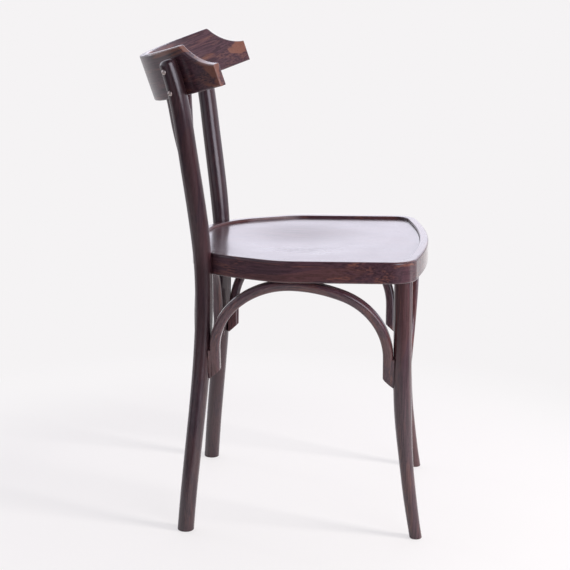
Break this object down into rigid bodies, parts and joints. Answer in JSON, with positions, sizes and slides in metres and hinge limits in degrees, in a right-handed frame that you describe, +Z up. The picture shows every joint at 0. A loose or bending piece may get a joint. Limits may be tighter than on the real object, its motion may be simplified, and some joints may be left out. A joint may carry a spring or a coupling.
{
  "type": "bentwood bistro chair",
  "caption": "Bentwood dining chair with a curved crest rail on two posts, slender back rods, a dished seat in a bent ring, and arched braces under the seat.",
  "frame": {"origin": "on the floor, at the middle of the chair's overall width and depth", "axes": "+Z up, the chair faces -Y, +X is the sitter's left"},
  "size_m": [0.4204, 0.4893, 0.7882],
  "materials": {
    "lacquered_beech": "very dark brown stain under semi-gloss lacquer",
    "moulded_seat_ply": "very dark brown stain under gloss lacquer",
    "dark_steel": "bronzed screw heads",
    "plated_steel": "bright zinc plate"
  },
  "bodies": {
    "root": {"seat_ring": "lacquered_beech", "seat_panel": "moulded_seat_ply", "crest_rail": "lacquered_beech", "rear_leg_left": "lacquered_beech", "rear_leg_right": "lacquered_beech", "front_leg_left": "lacquered_beech", "front_leg_right": "lacquered_beech", "back_rod_left": "lacquered_beech", "back_rod_right": "lacquered_beech", "side_arch_left": "lacquered_beech", "side_arch_right": "lacquered_beech", "rear_arch": "lacquered_beech", "front_arch": "lacquered_beech", "crest_screws": "dark_steel", "rear_leg_bolts": "plated_steel", "bolt_washers": "plated_steel", "bolt_nuts": "plated_steel", "arch_end_screws": "dark_steel", "arch_crown_screws": "dark_steel"}
  },
  "joints": []
}
